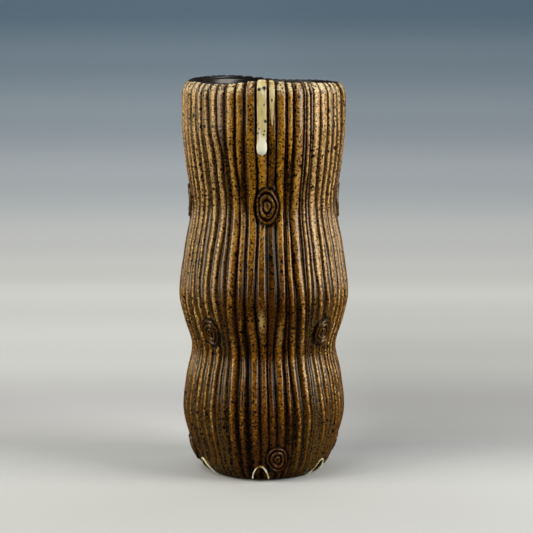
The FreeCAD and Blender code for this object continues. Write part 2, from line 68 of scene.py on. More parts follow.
# Carved ribs of the front: level, left edge, right edge, then height and paleness as shares where below 1; at
# the sides a low paleness also brings painted sheen
frontRibs = [
    [(212, -73, -67.6), (190, -73, -67.6), (160, -71.5, -67.5), (130, -71, -67), (110, -72.4, -68.4),
     (80, -72, -68.6), (60, -71.5, -68), (45, -73.4, -70), (25, -73.5, -70.2, .7), (8, -73.6, -70.6, .2)],
    [(212, -66, -62), (190, -66, -62), (170, -64.5, -61.2), (150, -64.5, -60.8), (130, -65, -61.5),
     (110, -66, -62), (100, -65, -61.6), (80, -65.4, -61.6), (60, -64, -60.4), (50, -65, -61.2),
     (40, -66, -62.6), (25, -66.6, -63.4, .7), (8, -67, -64, .2)],
    [(212, -60.6, -54.8), (190, -59.6, -55), (170, -57.7, -53), (155, -57.3, -52.7), (145, -58.2, -54),
     (130, -58.6, -54.8), (115, -59.5, -55.6), (100, -57.2, -54), (90, -56.8, -52.3), (80, -56.2, -51.2),
     (60, -55.8, -51.4), (50, -55.5, -51.5), (40, -56, -52.6), (25, -57, -53.6, .6), (10, -57.5, -54, .3)],
    [(212, -51.9, -48.9), (190, -51.5, -48.9), (175, -50.3, -47.9), (160, -50.2, -46.9), (150, -51.3, -47),
     (140, -51.6, -48.8), (115, -51.2, -48.9), (108, -51.7, -49.4), (100, -50.4, -48.1), (90, -49.4, -46.4),
     (78, -48.6, -44.8, .3), (70, -48.4, -44.6), (60, -47.8, -44.5), (40, -47.3, -45),
     (25, -47.3, -44.8, .7), (10, -48, -45, .3)],
    [(212, -46.9, -42.9, 1, .55), (190, -46, -41.8, 1, .6), (175, -43.7, -39), (165, -43, -38.6),
     (140, -43.2, -38.8), (130, -43.2, -39.3), (115, -44.1, -40.8), (108, -44.6, -41.1),
     (100, -44.1, -40.5), (92, -43.2, -39.9), (85, -41.8, -38.2, .6), (78, -40.8, -36.8, .2),
     (70, -40.5, -36.6), (60, -40.5, -37.3), (40, -40.9, -38), (30, -40.7, -37.8), (18, -40.4, -37.6, .6),
     (8, -41, -38, .2)],
    [(212, -40.2, -35, 1, .7), (190, -39.2, -34.4, 1, .75), (180, -37.4, -32.8), (172, -35.9, -31),
     (160, -35.6, -32.2), (152, -35.5, -30.4), (140, -35.2, -30.2), (130, -35.9, -31.2),
     (122, -36.7, -32.6), (115, -37.3, -33.6), (108, -37.9, -34), (100, -37.1, -33.3), (92, -36, -32.3),
     (86, -34.8, -31.8, .7), (78, -35, -32, .1), (60, -35.4, -33.4, .15), (10, -36, -34, .1)],
    [(212, -33.9, -28.4, .9, .5), (190, -33.8, -28.6, .9, .3), (182, -32, -28.8, .6, .2),
     (172, -29.4, -27.6, .15, .1), (160, -29.4, -27.4, .1, .1), (148, -29.6, -27, .3, .2),
     (140, -29.9, -26.9, .6, .3), (125, -30, -26.7, .5, .25), (115, -31.4, -27.6, .4, .3),
     (108, -31, -27.3, .5, .5), (97, -29.8, -26.8, .5, .6), (86, -29.6, -27, .2, .2),
     (70, -30.6, -28.2, .3, .35), (55, -31, -28, .25, .3), (40, -31, -27.6, .25, .25),
     (10, -31, -28, .1, .2)],
    [(212, -26.5, -20.4), (190, -26.6, -20.9), (175, -25.9, -21.8), (165, -24.6, -21.2), (155, -24.1, -20),
     (145, -24.2, -19.2), (135, -24.5, -18.9), (120, -25.4, -19.5), (108, -25.6, -19.8),
     (100, -25.1, -20.6), (85, -25.9, -20.9), (65, -25.9, -21), (50, -25, -21), (35, -24.8, -20.6),
     (20, -25, -20.5, .7), (8, -25.2, -20.6, .3)],
    [(212, -19.6, -14.4), (190, -19.1, -15), (180, -19.4, -15.7), (170, -19.2, -16.1),
     (163, -18.4, -16.6, .8), (157, -18.2, -16.6, .1, .3), (150, -18.3, -16.4, .15, .3),
     (144, -18, -14.8, .8), (138, -17.5, -13.7), (130, -17.7, -14.1), (115, -18, -14.3),
     (105, -17.7, -14.3), (95, -17.5, -14.2), (87, -17.7, -14.2), (82, -17.9, -16), (74, -17.5, -15.7),
     (66, -17.2, -15), (60, -16.6, -14), (50, -17, -14.1), (35, -17, -14), (20, -16.8, -14, .6),
     (8, -17, -14, .3)],
    [(212, -12.3, -6.6, 1, .72), (175, -12.2, -6.1, 1, .65), (160, -11.6, -5.9, 1, .8), (145, -11.4, -6.2),
     (130, -11.6, -5.5), (115, -11.6, -6.4, 1, .8), (105, -11.6, -7.1, 1, .6), (95, -11.4, -7.7, 1, .6),
     (85, -10.9, -6.2), (75, -10, -4.9), (65, -9.5, -4.5), (50, -8.9, -4.5), (30, -8.2, -4.1),
     (12, -7.6, -3.7, .6)],
    [(212, -5, 1.9), (190, -4.4, 2.2), (178, -4.8, 2), (165, -3.6, 2), (155, -3.4, 1.8), (140, -3, 1),
     (130, -3.3, .9), (115, -4.1, 1.1, 1, .7), (105, -4.1, .9, .9, .45), (96, -4.2, 1.4, 1, .6),
     (90, -4.3, 1.8), (80, -3.4, 1.8), (70, -1.9, 1.8), (60, -1.6, 2), (45, -1.2, 2.4), (30, -.8, 2.7),
     (12, -.5, 3, .6)],
    [(212, 3.6, 7.7, .9, 1), (198, 3.8, 7.6, .9, .8), (188, 3.8, 7.9, .7, .3), (175, 3.7, 8.2, .6, .2),
     (160, 3.7, 8, .5, .2), (130, 3.6, 6.8, .4, .25), (110, 3.4, 8, .4, .2), (95, 3.4, 7.6, .4, .25),
     (70, 3.4, 6.6, .45, .4), (55, 3.4, 6.4, .5, .35), (45, 4, 7, .6, .5), (38, 4.5, 7.6, .9, .8),
     (25, 4.8, 8, .8, .8), (14, 5, 8.3, .4, .4)],
    [(212, 9.1, 15.1, 1, .8), (190, 9.8, 14.9, 1, .75), (175, 9.2, 14.6, 1, .8), (160, 9.4, 14.8),
     (150, 10.4, 15), (140, 10.4, 15.2), (125, 10.2, 14.6), (110, 10.7, 14.6, 1, .7),
     (100, 11, 14.4, .8, .45), (95, 11.2, 14, .9, .6), (88, 10.7, 14.7), (80, 9.1, 14.1), (70, 8.9, 13.9),
     (60, 9.3, 14.5), (50, 10, 14.5), (35, 10.6, 14.1), (20, 11.6, 14.6, .8), (8, 12, 15, .3)],
    [(212, 15.8, 16.1, 0, 0), (100, 15.8, 16.2, 0, 0), (86, 16.2, 16.8, 0, 0), (74, 17, 18, .1, .2),
     (68, 17.4, 19, .7, .8), (62, 16.8, 19.4), (50, 17, 19.5), (40, 17.9, 19.7), (33, 18.2, 19.4, .3, .3),
     (20, 18.6, 19.4, 0, 0), (6, 18.6, 19.4, 0, 0)],
    [(212, 16.8, 20.2), (180, 16.9, 20.1), (172, 17.4, 19.4), (167, 17.4, 19.2, .2, .4),
     (150, 17, 19.6, .2, .5), (140, 17.4, 19.8, .2, .4), (134, 17.4, 19.9, .8, 1), (125, 17, 19.8),
     (110, 16.8, 20), (100, 17.7, 20.4), (92, 18.4, 20.8), (86, 18.9, 21.8), (80, 19.2, 23.2),
     (72, 20.5, 24.8), (65, 20.8, 25), (55, 21.4, 25.2), (45, 23.2, 26), (35, 24.5, 26.8), (25, 25.2, 28.1),
     (15, 25.9, 29, .5), (6, 26, 29, .2)],
    [(212, 21.7, 28.4, 1, .5), (190, 21.9, 28.3, 1, .5), (175, 22.5, 28.3, 1, .7), (160, 22.4, 28),
     (145, 21.8, 28, 1, .6), (140, 21.2, 27.7, 1, .55), (125, 21.2, 27.4, 1, .55), (115, 21.6, 27.6),
     (108, 22.2, 28), (102, 24, 28.2), (95, 25.4, 28.7), (85, 26.6, 30.2), (78, 27.3, 31.8), (70, 29.1, 34),
     (60, 29.4, 34.2), (50, 30, 34.1), (40, 31.4, 34.6), (30, 32.1, 35.5), (20, 33.6, 36.3, .7),
     (8, 34, 37, .2)],
    [(212, 29, 30.2, .7, .3), (160, 29, 30.2, .6, .3), (108, 29.2, 30.3, .5, .3), (100, 29.6, 30.4, .2, .2),
     (90, 30.6, 31.2, 0, 0), (78, 32.4, 32.9, 0, 0), (70, 34.5, 35, 0, 0), (50, 34.9, 35.3, 0, 0),
     (30, 36.1, 36.5, 0, 0), (8, 37.4, 37.8, 0, 0)],
    [(212, 30.8, 33.1), (190, 30.9, 33.4), (175, 31.7, 33.9), (163, 31.8, 33.9), (159, 31.6, 33.4, .3, .5),
     (154, 30.9, 33.1), (145, 31.3, 33.8), (130, 31.2, 33.9), (115, 31, 33.9), (105, 31, 33.6),
     (97, 31.6, 33.6, .8), (90, 32.2, 33.6, .2, .3), (78, 34, 35, 0, 0), (70, 35.4, 36.2, .1, .1),
     (50, 35.8, 36.6, .1, .1), (30, 37, 38, .1, .1), (8, 38.4, 39.4, 0, 0)],
    [(212, 34.2, 36, .9, .45), (190, 34.2, 35.8, .9, .4), (175, 34.9, 35.9, .5, .3),
     (160, 35, 36.1, .3, .3), (150, 34.6, 36.6, .6, .4), (130, 34.6, 37.2, .6, .4),
     (115, 35.2, 37.6, .5, .4), (105, 35.2, 38.4, .6, .5), (95, 35.2, 38.2, .3, .3), (85, 36, 38, 0, 0),
     (70, 37.5, 38.6, .1, .1), (50, 38, 39.4, .1, .1), (30, 39.5, 41, .2, .3), (8, 40.5, 42, .1, .1)],
    [(212, 36.4, 42), (190, 36.4, 41.9), (180, 36.2, 42.2), (165, 36.5, 41.8), (155, 36.9, 42.7),
     (145, 37.4, 43.4), (130, 37.8, 44.8), (115, 38.2, 44.4), (105, 39.4, 43.4), (95, 40.1, 43.9),
     (88, 41.2, 44.8, .6), (80, 42, 45, .1, .2), (72, 41.8, 45.4, .7, .8), (65, 43, 46), (55, 43.2, 46.4),
     (45, 44.1, 47.2), (35, 45.5, 48.6), (25, 47.6, 50.7), (15, 48.2, 50.8, .5), (6, 49, 51, .2)],
    [(212, 42.9, 49.4), (190, 43.3, 49.6), (175, 43.6, 49.1), (160, 45, 49.3), (150, 45.8, 49.4),
     (140, 46.4, 50), (120, 46.1, 49.8), (110, 46.1, 49.7), (100, 47, 50.3), (95, 47.7, 50.7),
     (90, 48, 50.8, .5), (80, 48.4, 51, .1, .2), (72, 49.4, 52.4, .5, .6), (62, 50.4, 54), (50, 50.5, 54),
     (42, 51.4, 54, .7), (30, 52.6, 55.4, .3, .4), (8, 53, 56, .1, .2)],
    [(212, 50.6, 54.2), (190, 51, 54.6), (175, 52, 55.4), (165, 52, 55.9), (150, 51.6, 56),
     (140, 52.3, 56.6), (130, 52.8, 57.2), (115, 53.7, 58.2), (105, 54, 58.4), (90, 54.4, 58, .7),
     (80, 54.4, 57.6, .5), (70, 56, 59.4), (55, 57.4, 60.4), (40, 57.6, 60.6), (25, 58, 61, .5),
     (8, 58.4, 61, .2)],
    [(212, 56.9, 60.2), (190, 57.4, 61), (170, 58.5, 62.5), (150, 59.2, 63), (140, 60.5, 64.5),
     (120, 61, 63.8), (108, 61.4, 63.6), (98, 60.6, 62.8), (90, 60, 63.4), (80, 59, 63), (70, 60.8, 63.4),
     (50, 61.6, 63.8), (40, 61.9, 64.2), (25, 64, 66.6, .7), (8, 64.5, 67, .2)],
    [(212, 62.4, 67.1), (190, 63, 68), (175, 65.6, 69.6), (160, 65.4, 69), (150, 66, 69.6), (140, 67.4, 71),
     (120, 67, 70.5), (100, 66.6, 70), (85, 66.6, 70), (70, 65.6, 69), (50, 67.5, 70.4), (35, 67.8, 71),
     (8, 70, 73, .2)],
]


# Shape helpers

def smooth(x):
    x = np.clip(x, 0.0, 1.0)
    return x * x * (3 - 2 * x)


def hump(x, spread):
    return np.exp(-(x / spread) ** 2)


def turned(angle, middle, every=360):  # from the nearest of some evenly spaced angles
    return (angle - middle + every / 2) % every - every / 2


# Radius of the outline at a level, on a curve that never swings past its points
def outlineRadius(level):
    points = wall["outline"]
    steps = [(b[1] - a[1]) / (b[0] - a[0]) for a, b in zip(points, points[1:])]
    slopes = [0.0 if a * b <= 0 else 2 * a * b / (a + b) for a, b in zip(steps, steps[1:])]
    slopes = [steps[0], *slopes, steps[-1]]
    level = min(max(level, 0.0), points[-1][0])
    for low, high, start, end in zip(points, points[1:], slopes, slopes[1:]):
        if level <= high[0]:
            gap = high[0] - low[0]
            t = (level - low[0]) / gap
            return (low[1] * (1 + 2 * t) * (1 - t) ** 2 + high[1] * t * t * (3 - 2 * t)
                    + gap * start * t * (1 - t) ** 2 + gap * end * t * t * (t - 1))


def lipLift(angle):
    return sum(lift * hump(turned(angle, middle), spread) for middle, spread, lift in wall["lipLifts"])


def rimShare(level):
    return smooth((level - wall["height"] + wall["waveFade"]) / wall["waveFade"])


def rimDrop(angle, level):
    swing = np.radians(angle - wall["highAngle"])
    wave = wall["tilt"] * (1 - np.cos(swing)) / 2 + wall["ripple"] * (1 - np.cos(2 * swing)) / 2
    return (wave - lipLift(angle)) * rimShare(level)


# 1 where a knot has pressed the ribs flat
def knotFlat(angle, level):
    flat = 0.0
    for rowLevel, length, width, first in knotRows.values():
        up = (level - rowLevel) / (length / 2 + knotMargin)
        across = math.radians(turned(angle, first, 90)) * outlineRadius(rowLevel) / (width / 2 + knotMargin)
        flat = max(flat, float(smooth((1 - math.hypot(up, across)) / 0.35)))
    return flat


def onRound(radius, turn, z):
    return Vector((radius * math.sin(turn), -radius * math.cos(turn), z)) * mm


# A point on the outline over the crests, pushed out along its normal
def onWall(angle, level, proud):
    step = 0.5
    swell = (outlineRadius(level + step) - outlineRadius(level - step)) / (2 * step)
    length = math.hypot(swell, 1.0)
    z = level - proud * swell / length - float(rimDrop(angle, level))
    return onRound(outlineRadius(level) + proud / length, math.radians(angle), z)


# The same on the curl of the lip, where bend is the way round it in radians
def onLip(angle, bend, proud):
    radius = rimRadius - wall["lipCurl"] * (1 - math.cos(bend)) + proud * math.cos(bend)
    z = shoulder + (wall["lipRise"] + proud) * math.sin(bend)
    return onRound(radius, math.radians(angle), z - float(rimDrop(angle, z)))


# Node helpers

def feed(socket, value):  # a socket takes a link or a plain value
    if isinstance(value, bpy.types.NodeSocket):
        socket.id_data.links.new(value, socket)
    else:
        socket.default_value = value


def fill(node, given):
    for key, value in given.items():
        feed(node.inputs[key], value)


def put(tree, kind, given=None, **settings):
    made = tree.nodes.new(kind)
    for key, value in settings.items():
        setattr(made, key, value)
    fill(made, given or {})
    return made


def putBy(values, kind, **settings):  # fed with some values, in the tree that they come from
    tree = next(value.id_data for value in values.values() if isinstance(value, bpy.types.NodeSocket))
    return put(tree, kind, values, **settings).outputs


def calc(operation, *values):
    return putBy(dict(enumerate(values)), "ShaderNodeMath", operation=operation)[0]


def times(a, b):
    return calc("MULTIPLY", a, b)


def timesPlus(a, b, c):
    return calc("MULTIPLY_ADD", a, b, c)


def plus(a, b):
    return calc("ADD", a, b)


def less(a, b):
    return calc("SUBTRACT", a, b)


def span(value, low, high, start=0.0, end=1.0, curve="SMOOTHSTEP"):
    given = {"Value": value, "From Min": low, "From Max": high, "To Min": start, "To Max": end}
    return putBy(given, "ShaderNodeMapRange", interpolation_type=curve)[0]


def parts(vector):
    return putBy({0: vector}, "ShaderNodeSeparateXYZ")


def together(x, y, z):
    return putBy({0: x, 1: y, 2: z}, "ShaderNodeCombineXYZ")[0]


def blendColour(share, a, b):
    return putBy({0: share, 6: a, 7: b}, "ShaderNodeMix", data_type="RGBA")[2]


def noise(where, scale, detail=2.0, rough=0.5, stretch=None):
    if stretch:
        where = putBy({"Vector": where, "Scale": stretch}, "ShaderNodeMapping")[0]
    given = {"Vector": where, "Scale": scale, "Detail": detail, "Roughness": rough}
    return putBy(given, "ShaderNodeTexNoise")[0]


# Sets of round dots of uneven size, in a share of their cells; 1 inside a dot
def specks(where, sets):
    found = []
    for scale, size, kept in sets:
        cells = putBy({"Vector": where, "Scale": scale}, "ShaderNodeTexVoronoi")
        chance = putBy({0: cells["Color"]}, "ShaderNodeSeparateColor")
        limit = timesPlus(chance[1], size, size * 0.4)
        dot = span(cells["Distance"], times(limit, 0.75), limit, 1.0, 0.0)
        found.append(times(dot, calc("LESS_THAN", chance[0], kept)))
    return calc("MAXIMUM", *found)


def attribute(tree, name):
    return put(tree, "ShaderNodeAttribute", attribute_name=name).outputs["Fac"]


def newMaterial(name):
    material = bpy.data.materials.new(name)
    material.use_nodes = True
    return material, material.node_tree, put(material.node_tree, "ShaderNodeTexCoord").outputs["Object"]


def dress(tree, given):
    fill(tree.nodes["Principled BSDF"], given)


def bump(tree, height, strength, distance):
    given = {"Height": height, "Strength": strength, "Distance": distance}
    dress(tree, {"Normal": putBy(given, "ShaderNodeBump")[0]})


# Rib glaze: gold where it breaks over the ribs, near black where it pools, speckled with iron

ribGlaze = {
    "black": (0.003, 0.001, 0.0004, 1), "dark": (0.018, 0.0066, 0.0005, 1),
    # umber and russet darken the lower front: partly glaze colour, partly painted shade
    "rust": (0.038, 0.013, 0.0008, 1), "umber": (0.050, 0.0168, 0.001, 1),
    "brown": (0.062, 0.0245, 0.0016, 1), "russet": (0.135, 0.052, 0.002, 1),
    "amber": (0.155, 0.065, 0.003, 1), "gold": (0.325, 0.168, 0.018, 1),
    # olive, ash, fawn and tan paint the sides paler: painted sheen
    "olive": (0.084, 0.054, 0.012, 1), "ash": (0.098, 0.064, 0.022, 1),
    "fawn": (0.20, 0.112, 0.038, 1), "tan": (0.50, 0.325, 0.13, 1),
    "straw": (0.47, 0.36, 0.13, 1), "cream": (0.60, 0.53, 0.33, 1),
    # mauve is a painted sheen colour for the crests at the sides
    "sheenMauve": (0.160, 0.112, 0.098, 1), "speck": (0.0015, 0.0006, 0.0003, 1),
    "inside": (0.006, 0.005, 0.005, 1), "clay": (0.06, 0.036, 0.024, 1),
    "mottleScale": 850, "patchScale": 90, "streakScale": 800,
    "specks": [(330, 0.30, 0.34), (860, 0.42, 0.72)],  # cells in a metre, size, share kept
    "roughness": (0.13, 0.25), "pooledRoughness": 0.10, "clayRoughness": 0.4, "speckRoughness": -0.05,
    "shine": 0.36, "pooledShine": 0.08, "shineTint": (1.0, 0.85, 0.66, 1),
    "coat": 0.07, "coatRoughness": 0.13, "bump": 0.5, "bumpDepth": 0.00025,
}


def ribGlazeMaterial():
    material, tree, where = newMaterial("ribGlaze")
    z = parts(where)[2]
    names = ("ridge", "tone", "side", "cutLine", "inner", "pale")
    ridge, tone, side, cut, inner, pale = [attribute(tree, name) for name in names]
    mottle = noise(where, ribGlaze["mottleScale"], 3, 0.65)
    patches = noise(where, ribGlaze["patchScale"], 3, 0.55, (1, 1, 0.4))
    streaks = noise(where, ribGlaze["streakScale"], 2, 0.6, (1, 1, 0.08))

    # Thin glaze on the crests, thick in the grooves, broken up by the three patterns
    thin = times(ridge, timesPlus(tone, 0.45, 0.55))
    for pattern, strength in ((mottle, 2.1), (patches, 0.9), (streaks, 0.7)):
        thin = timesPlus(less(pattern, 0.5), strength, thin)
    middle = less(1.0, side)
    front = times(middle, span(z, 0.135, 0.11))  # the lower front is darker and redder, partly glaze colour and partly painted shade
    upperSheen = times(side, span(z, 0.06, 0.17))  # painted sheen: the upper sides are paler
    # crests darken towards the bottom, partly glaze colour and partly painted shade of light from above
    high = plus(thin, span(z, 0.0, 0.19, -0.30, 0.02, "LINEAR"))
    high = timesPlus(front, span(patches, 0.40, 0.62, 0.02, -0.34), high)

    # From black in the grooves to gold on the crests; at the sides paler valleys and tan crests are painted
    # sheen
    groove = blendColour(span(thin, -0.12, 0.10), ribGlaze["black"], ribGlaze["dark"])
    olive = blendColour(upperSheen, ribGlaze["olive"], ribGlaze["ash"])
    shallow = blendColour(span(thin, -0.1, 0.22), ribGlaze["dark"], olive)
    brown = blendColour(front, ribGlaze["brown"], ribGlaze["umber"])
    amber = blendColour(front, ribGlaze["amber"], ribGlaze["russet"])
    amber = blendColour(upperSheen, amber, ribGlaze["fawn"])
    bright = blendColour(side, ribGlaze["gold"], ribGlaze["tan"])
    colour = blendColour(side, groove, shallow)
    colour = blendColour(span(thin, 0.06, 0.40), colour, brown)
    colour = blendColour(span(high, 0.38, 0.68), colour, amber)
    colour = blendColour(span(high, 0.72, 1.15), colour, bright)

    # Painted sheen: mauve-grey on the crests of low-toned ribs at the sides
    paintedSheen = times(side, times(span(tone, 0.62, 0.35), span(ridge, 0.4, 0.85)))
    tips = times(span(z, 0.2025, 0.2078), span(thin, 0.5, 1.1))
    dots = specks(where, ribGlaze["specks"])
    clay = span(z, 0.0012, 0.0004)  # the foot's edge is wiped bare
    layers = [  # share and colour of what lies over it, in turn
        (span(patches, 0.52, 0.68, 0.0, 0.5), "rust"),
        (span(cut, 0.15, 0.75, 0.0, 0.96), "black"),
        (times(paintedSheen, 0.8), "sheenMauve"),
        (times(tips, 0.8), "cream"),
        (times(pale, span(ridge, 0.4, 0.9)), "straw"),
        (times(dots, 0.97), "speck"),
        (span(inner, 0.3, 0.6), "inside"),
        (clay, "clay"),
    ]
    for share, name in layers:
        colour = blendColour(share, colour, ribGlaze[name])

    pooled = times(middle, span(ridge, 0.75, 0.25))
    rough = span(mottle, 0.3, 0.7, *ribGlaze["roughness"], "LINEAR")
    rough = timesPlus(pooled, ribGlaze["pooledRoughness"], rough)
    rough = timesPlus(dots, ribGlaze["speckRoughness"], rough)
    rough = timesPlus(clay, ribGlaze["clayRoughness"], rough)
    shine = timesPlus(pooled, ribGlaze["pooledShine"] - ribGlaze["shine"], ribGlaze["shine"])
    dress(tree, {
        "Base Color": colour, "Roughness": rough, "Specular IOR Level": shine,
        "Specular Tint": ribGlaze["shineTint"], "Coat Weight": ribGlaze["coat"],
        "Coat Roughness": ribGlaze["coatRoughness"]})
    bump(tree, timesPlus(streaks, 0.8, mottle), ribGlaze["bump"], ribGlaze["bumpDepth"])
    return material


# Liner glaze

linerGlaze = {"black": (0.006, 0.0055, 0.006, 1), "brown": (0.022, 0.016, 0.012, 1),
              "roughness": (0.16, 0.32), "shine": 0.25}


def linerGlazeMaterial():
    material, tree, where = newMaterial("linerGlaze")
    flow = noise(where, 60, 3, 0.5, (1, 1, 0.3))
    dress(tree, {
        "Base Color": blendColour(span(flow, 0.4, 0.7), linerGlaze["black"], linerGlaze["brown"]),
        "Roughness": span(flow, 0.3, 0.7, *linerGlaze["roughness"], "LINEAR"),
        "Specular IOR Level": linerGlaze["shine"]})
    bump(tree, noise(where, 240, 2), 0.25, 0.0003)
    return material


# Pale glaze: cream, amber where it thins, with iron specks

paleGlaze = {"amber": (0.20, 0.105, 0.022, 1), "straw": (0.46, 0.385, 0.175, 1),
             "cream": (0.68, 0.67, 0.54, 1), "speck": (0.012, 0.008, 0.006, 1),
             "specks": [(330, 0.32, 0.3), (760, 0.34, 0.3)], "roughness": (0.22, 0.36)}


def paleGlazeMaterial():
    material, tree, where = newMaterial("paleGlaze")
    cloud = noise(where, 300, 3, 0.6, (1, 1, 0.25))
    wide = noise(where, 150, 2, 0.5, (1, 1, 0.4))
    thick = attribute(tree, "body")  # 1 in the thick of it, 0 at its thin edges
    thick = timesPlus(less(cloud, 0.5), 2.0, thick)
    thick = timesPlus(less(wide, 0.5), 1.7, thick)
    colour = blendColour(span(thick, 0.25, 0.75), paleGlaze["amber"], paleGlaze["straw"])
    colour = blendColour(span(thick, 0.85, 1.5), colour, paleGlaze["cream"])
    dots = times(specks(where, paleGlaze["specks"]), span(thick, 1.3, 1.0))
    dress(tree, {
        "Base Color": blendColour(dots, colour, paleGlaze["speck"]),
        "Roughness": span(cloud, 0.3, 0.7, *paleGlaze["roughness"], "LINEAR")})
    bump(tree, cloud, 0.3, 0.0002)
    return material


# Bare clay, fired and matt

bareClay = {"brown": (0.085, 0.05, 0.032, 1), "tan": (0.14, 0.085, 0.055, 1), "grit": (0.05, 0.03, 0.02, 1),
            "roughness": 0.82}


def bareClayMaterial():
    material, tree, where = newMaterial("bareClay")
    grain = noise(where, 900, 4, 0.7)
    tone = noise(where, 70, 3, 0.5)
    colour = blendColour(span(tone, 0.35, 0.65), bareClay["brown"], bareClay["tan"])
    colour = blendColour(span(grain, 0.62, 0.75), colour, bareClay["grit"])
    dress(tree, {"Base Color": colour, "Roughness": bareClay["roughness"]})
    bump(tree, grain, 0.6, 0.0003)
    return material


materials = {"rib": ribGlazeMaterial(), "liner": linerGlazeMaterial(),
             "pale": paleGlazeMaterial(), "clay": bareClayMaterial()}
print("materials made:", len(materials))


# Mesh helpers

def addObject(name, data):
    made = bpy.data.objects.new(name, data)
    bpy.context.scene.collection.objects.link(made)
    return made


def setFloats(made, name, values):  # one value for each point, or one for them all
    layer = made.data.attributes.get(name) or made.data.attributes.new(name, "FLOAT", "POINT")
    layer.data.foreach_set("value", (np.zeros(len(layer.data)) + values).astype(np.float32))


# Quads between rings of points; values are attributes of the points
def ringMesh(name, rings, material, values=None, closeAcross=True, closeAlong=False,
             capStart=False, capEnd=False):
    count, size = len(rings), len(rings[0])
    faces = []
    for i in range(count if closeAlong else count - 1):
        for j in range(size if closeAcross else size - 1):
            here, ahead = i * size, (i + 1) % count * size
            faces.append((here + j, here + (j + 1) % size, ahead + (j + 1) % size, ahead + j))
    if capStart:
        faces.append(tuple(range(size))[::-1])
    if capEnd:
        faces.append(tuple((count - 1) * size + j for j in range(size)))
    mesh = bpy.data.meshes.new(name)
    mesh.from_pydata([tuple(p) for ring in rings for p in ring], [], faces)
    mesh.update()
    mesh.shade_smooth()
    mesh.materials.append(material)
    made = addObject(name, mesh)
    for key, given in (values or {}).items():
        setFloats(made, key, given)
    return made


# What the modifiers give, as a plain mesh object at the origin
def plainMesh(source, name):
    graph = bpy.context.evaluated_depsgraph_get()
    return addObject(name, bpy.data.meshes.new_from_object(source.evaluated_get(graph)))


def finishPiece(made, node):
    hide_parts(node)
    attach(made, "root")


# Ribs of the carved wall, in tables of left edge, right edge, height and paleness over the levels

backRibs = {"from": 73.6, "to": 285.6, "pitch": 6.65, "ridgeShare": 0.66, "spread": 0.34, "wander": 0.9,
            "lowShare": 0.2, "lowHeight": 0.6, "brokenShare": 0.3, "breakDepth": 0.85, "breakSpread": 9.0}
ribPlay = {"wobble": 0.1925, "leastGap": 0.42, "leastWidth": 0.25, "leastHeight": 0.22}


def frontTable(fine):
    table = []
    for rib in frontRibs:
        known = np.array([(list(stop) + [1.0, 1.0])[:5] for stop in reversed(rib)], float)
        table.append([np.interp(fine, known[:, 0], known[:, i]) for i in range(1, 5)])
    return table


# The ribs that the front doesn't show follow a rule
def backTable(fine):
    reach = backRibs["to"] - backRibs["from"]
    widths = 1 + backRibs["spread"] * (dice.random(round(reach / backRibs["pitch"])) * 2 - 1)
    ends = backRibs["from"] + np.cumsum(widths / widths.sum()) * reach
    starts = np.concatenate([[backRibs["from"]], ends[:-1]])
    turns = fine / wall["height"] * 2 * math.pi
    table = []
    for start, end in zip(starts, ends):
        phase = dice.random(4) * 2 * math.pi
        drift = np.sin(turns * 1.3 + phase[0]) * 0.6 + np.sin(turns * 3.1 + phase[1]) * 0.25
        middle = (start + end) / 2 + backRibs["wander"] * drift
        half = (end - start) * (backRibs["ridgeShare"] + 0.12 * np.sin(turns * 1.7 + phase[2])) / 2
        height = np.ones_like(fine) * (1.0 if dice.random() > backRibs["lowShare"] else backRibs["lowHeight"])
        if dice.random() < backRibs["brokenShare"]:  # some ribs stop and start again
            stop = 40 + 130 * dice.random()
            height *= 1 - backRibs["breakDepth"] * hump(fine - stop, backRibs["breakSpread"])
        shade = np.clip(height * (0.8 + 0.25 * np.sin(turns * 2 + phase[3])), 0, 1)
        table.append([middle - half, middle + half, height * (smooth(fine / 30) * 0.75 + 0.25), shade])
    return table


# Every rib at every level, front first, softened and kept apart
def ribTable(levels):
    fine = np.arange(0.0, wall["height"] + 1.0, 1.0)
    table = np.array(frontTable(fine) + backTable(fine))
    kernel = np.hanning(9) / np.hanning(9).sum()
    for rib in table:
        draws = dice.normal(0, ribPlay["wobble"], len(fine) + 20)
        rib[:2] += np.convolve(draws, np.hanning(21) / 10.0, "same")[:len(fine)]
        for j in range(4):
            rib[j] = np.convolve(np.pad(rib[j], 4, mode="edge"), kernel, "valid")
    table[:, 2] = ribPlay["leastHeight"] + (1 - ribPlay["leastHeight"]) * table[:, 2]
    for rib, following in zip(table, table[1:]):
        following[0] = np.maximum(following[0], rib[1] + ribPlay["leastGap"])
        following[1] = np.maximum(following[1], following[0] + ribPlay["leastWidth"])
    table[-1, 1] = np.minimum(table[-1, 1], table[0, 0] + 360 - ribPlay["leastGap"])
    return np.array([[np.interp(levels, fine, line) for line in rib] for rib in table])


# Carved wall, by Geometry Nodes

footLevels = [0.0, 0.35, 0.8, 1.4, 2.1, 2.9, 3.8, 4.7, 5.6, 6.5, 7.4, 8.3, 9.2, 10.1, 11.2, 12.4]
ribProfile = [  # place across a rib and its valley, then depth
    (0.0, 0.68, 0), (0.10, 0.27, 0), (0.25, 0.07, 0), (0.5, 0.0, 0), (0.75, 0.07, 0),
    (0.90, 0.27, 0), (1.0, 0.68, 0), (1.22, 1.0, 0), (1.5, 2.0, 0), (1.8, 1.0, 0)]


